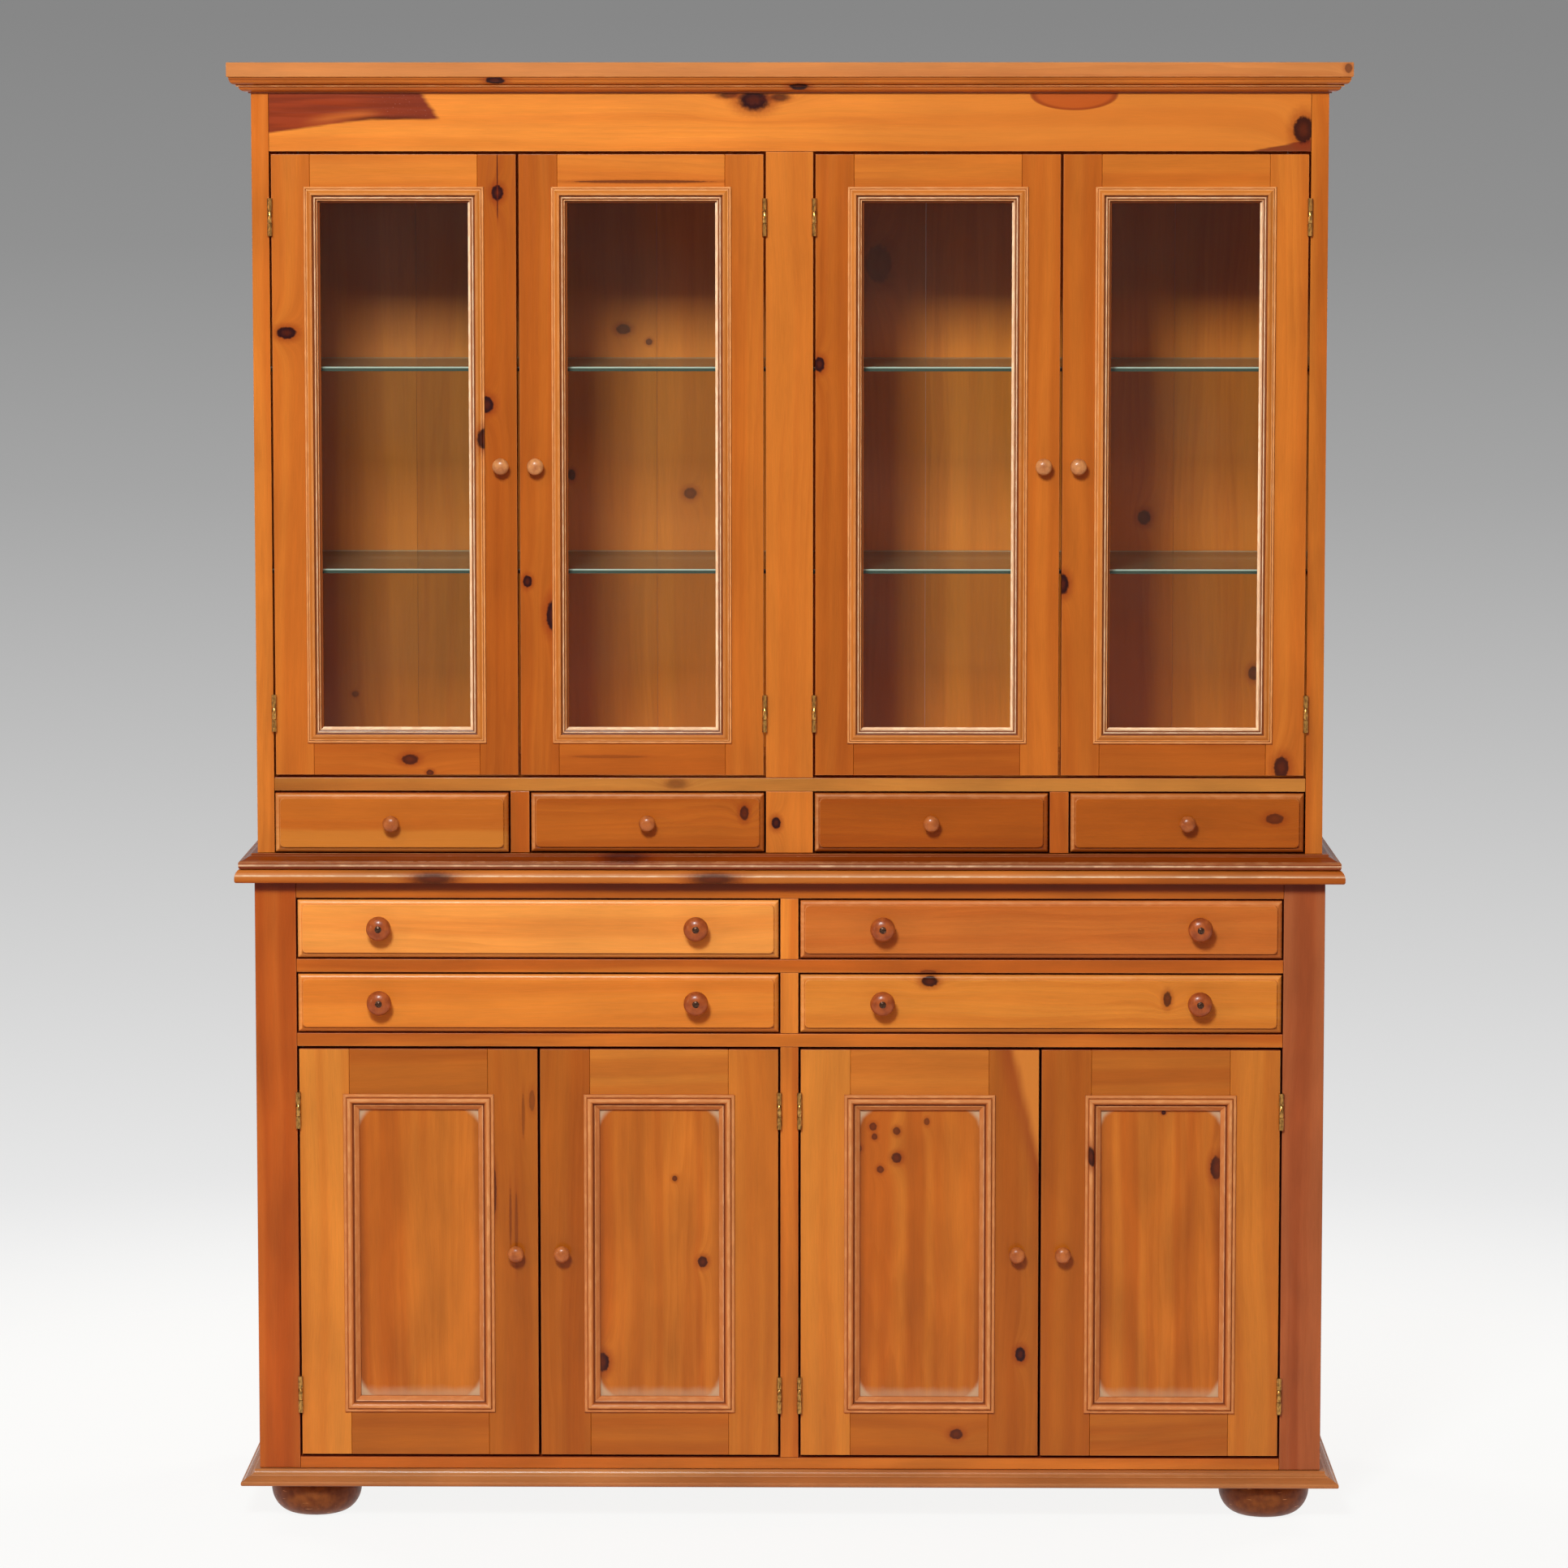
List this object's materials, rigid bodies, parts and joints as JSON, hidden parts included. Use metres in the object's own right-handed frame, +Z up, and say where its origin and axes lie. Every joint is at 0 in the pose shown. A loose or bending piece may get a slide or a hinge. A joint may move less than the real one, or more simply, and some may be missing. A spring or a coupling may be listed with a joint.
{
  "type": "china cabinet",
  "caption": "Pine china cabinet: glazed hutch with glass shelves and small drawers, on a buffet with long drawers, panelled doors and bun feet.",
  "frame": {"origin": "on the floor at the middle of the box round the whole cabinet", "axes": "+Z up, +X to the right seen from the front, front faces -Y"},
  "size_m": [1.5, 0.496, 1.981],
  "materials": {
    "carcass_pine": "satin honey varnish",
    "moulded_pine": "satin honey varnish, worn edges",
    "back_pine": "satin honey varnish",
    "door_pine": "satin honey varnish",
    "drawer_pine": "satin honey varnish",
    "door_glass": "clear",
    "shelf_glass": "clear with green edges",
    "hinge_brass": "tarnished satin"
  },
  "bodies": {
    "carcass": {"hutch_left_side": "carcass_pine", "hutch_right_side": "carcass_pine", "hutch_partition": "carcass_pine", "hutch_back": "back_pine", "hutch_floor": "carcass_pine", "hutch_face_frame": "carcass_pine", "hutch_base": "moulded_pine", "cornice": "moulded_pine", "glass_shelf_left_lower": "shelf_glass", "glass_shelf_left_upper": "shelf_glass", "glass_shelf_right_lower": "shelf_glass", "glass_shelf_right_upper": "shelf_glass", "buffet_left_side": "carcass_pine", "buffet_right_side": "carcass_pine", "buffet_partition": "carcass_pine", "buffet_back": "carcass_pine", "buffet_floor": "carcass_pine", "buffet_face_frame": "carcass_pine", "buffet_top": "moulded_pine", "base_board": "moulded_pine", "bun_foot_front_left": "carcass_pine", "bun_foot_front_right": "carcass_pine", "bun_foot_back_left": "carcass_pine", "bun_foot_back_right": "carcass_pine", "hutch_door_1_hinge_lower": "hinge_brass", "hutch_door_1_hinge_upper": "hinge_brass", "hutch_door_2_hinge_lower": "hinge_brass", "hutch_door_2_hinge_upper": "hinge_brass", "hutch_door_3_hinge_lower": "hinge_brass", "hutch_door_3_hinge_upper": "hinge_brass", "hutch_door_4_hinge_lower": "hinge_brass", "hutch_door_4_hinge_upper": "hinge_brass", "buffet_door_1_hinge_lower": "hinge_brass", "buffet_door_1_hinge_upper": "hinge_brass", "buffet_door_2_hinge_lower": "hinge_brass", "buffet_door_2_hinge_upper": "hinge_brass", "buffet_door_3_hinge_lower": "hinge_brass", "buffet_door_3_hinge_upper": "hinge_brass", "buffet_door_4_hinge_lower": "hinge_brass", "buffet_door_4_hinge_upper": "hinge_brass"},
    "hutch_door_1": {"hutch_door_1_frame": "door_pine", "hutch_door_1_glass": "door_glass"},
    "hutch_door_2": {"hutch_door_2_frame": "door_pine", "hutch_door_2_glass": "door_glass"},
    "hutch_door_3": {"hutch_door_3_frame": "door_pine", "hutch_door_3_glass": "door_glass"},
    "hutch_door_4": {"hutch_door_4_frame": "door_pine", "hutch_door_4_glass": "door_glass"},
    "buffet_door_1": {"buffet_door_1_frame": "door_pine"},
    "buffet_door_2": {"buffet_door_2_frame": "door_pine"},
    "buffet_door_3": {"buffet_door_3_frame": "door_pine"},
    "buffet_door_4": {"buffet_door_4_frame": "door_pine"},
    "hutch_drawer_1": {"hutch_drawer_1": "drawer_pine"},
    "hutch_drawer_2": {"hutch_drawer_2": "drawer_pine"},
    "hutch_drawer_3": {"hutch_drawer_3": "drawer_pine"},
    "hutch_drawer_4": {"hutch_drawer_4": "drawer_pine"},
    "buffet_drawer_upper_left": {"buffet_drawer_upper_left": "drawer_pine"},
    "buffet_drawer_upper_right": {"buffet_drawer_upper_right": "drawer_pine"},
    "buffet_drawer_lower_left": {"buffet_drawer_lower_left": "drawer_pine"},
    "buffet_drawer_lower_right": {"buffet_drawer_lower_right": "drawer_pine"}
  },
  "joints": [
    {"name": "hutch_door_1_hinge", "type": "hinge", "parent": "carcass", "child": "hutch_door_1", "pos_m": [-0.69575, -0.2159, 1.44225], "axis": [0, 0, -1], "range_deg": [0, 160]},
    {"name": "hutch_door_2_hinge", "type": "hinge", "parent": "carcass", "child": "hutch_door_2", "pos_m": [-0.03325, -0.2159, 1.44225], "axis": [0, 0, 1], "range_deg": [0, 90]},
    {"name": "hutch_door_3_hinge", "type": "hinge", "parent": "carcass", "child": "hutch_door_3", "pos_m": [0.03325, -0.2159, 1.44225], "axis": [0, 0, -1], "range_deg": [0, 90]},
    {"name": "hutch_door_4_hinge", "type": "hinge", "parent": "carcass", "child": "hutch_door_4", "pos_m": [0.69575, -0.2159, 1.44225], "axis": [0, 0, 1], "range_deg": [0, 160]},
    {"name": "buffet_door_1_hinge", "type": "hinge", "parent": "carcass", "child": "buffet_door_1", "pos_m": [-0.66775, -0.2159, 0.3705], "axis": [0, 0, -1], "range_deg": [0, 160]},
    {"name": "buffet_door_2_hinge", "type": "hinge", "parent": "carcass", "child": "buffet_door_2", "pos_m": [-0.01375, -0.2159, 0.3705], "axis": [0, 0, 1], "range_deg": [0, 85]},
    {"name": "buffet_door_3_hinge", "type": "hinge", "parent": "carcass", "child": "buffet_door_3", "pos_m": [0.01375, -0.2159, 0.3705], "axis": [0, 0, -1], "range_deg": [0, 85]},
    {"name": "buffet_door_4_hinge", "type": "hinge", "parent": "carcass", "child": "buffet_door_4", "pos_m": [0.66775, -0.2159, 0.3705], "axis": [0, 0, 1], "range_deg": [0, 160]},
    {"name": "hutch_drawer_1_slide", "type": "slide", "parent": "carcass", "child": "hutch_drawer_1", "axis": [0, -1, 0], "range_m": [-0.008, 0.262]},
    {"name": "hutch_drawer_2_slide", "type": "slide", "parent": "carcass", "child": "hutch_drawer_2", "axis": [0, -1, 0], "range_m": [0, 0.27]},
    {"name": "hutch_drawer_3_slide", "type": "slide", "parent": "carcass", "child": "hutch_drawer_3", "axis": [0, -1, 0], "range_m": [0, 0.27]},
    {"name": "hutch_drawer_4_slide", "type": "slide", "parent": "carcass", "child": "hutch_drawer_4", "axis": [0, -1, 0], "range_m": [0, 0.27]},
    {"name": "buffet_drawer_upper_left_slide", "type": "slide", "parent": "carcass", "child": "buffet_drawer_upper_left", "axis": [0, -1, 0], "range_m": [0, 0.3]},
    {"name": "buffet_drawer_upper_right_slide", "type": "slide", "parent": "carcass", "child": "buffet_drawer_upper_right", "axis": [0, -1, 0], "range_m": [0, 0.3]},
    {"name": "buffet_drawer_lower_left_slide", "type": "slide", "parent": "carcass", "child": "buffet_drawer_lower_left", "axis": [0, -1, 0], "range_m": [0, 0.3]},
    {"name": "buffet_drawer_lower_right_slide", "type": "slide", "parent": "carcass", "child": "buffet_drawer_lower_right", "axis": [0, -1, 0], "range_m": [0, 0.3]}
  ]
}
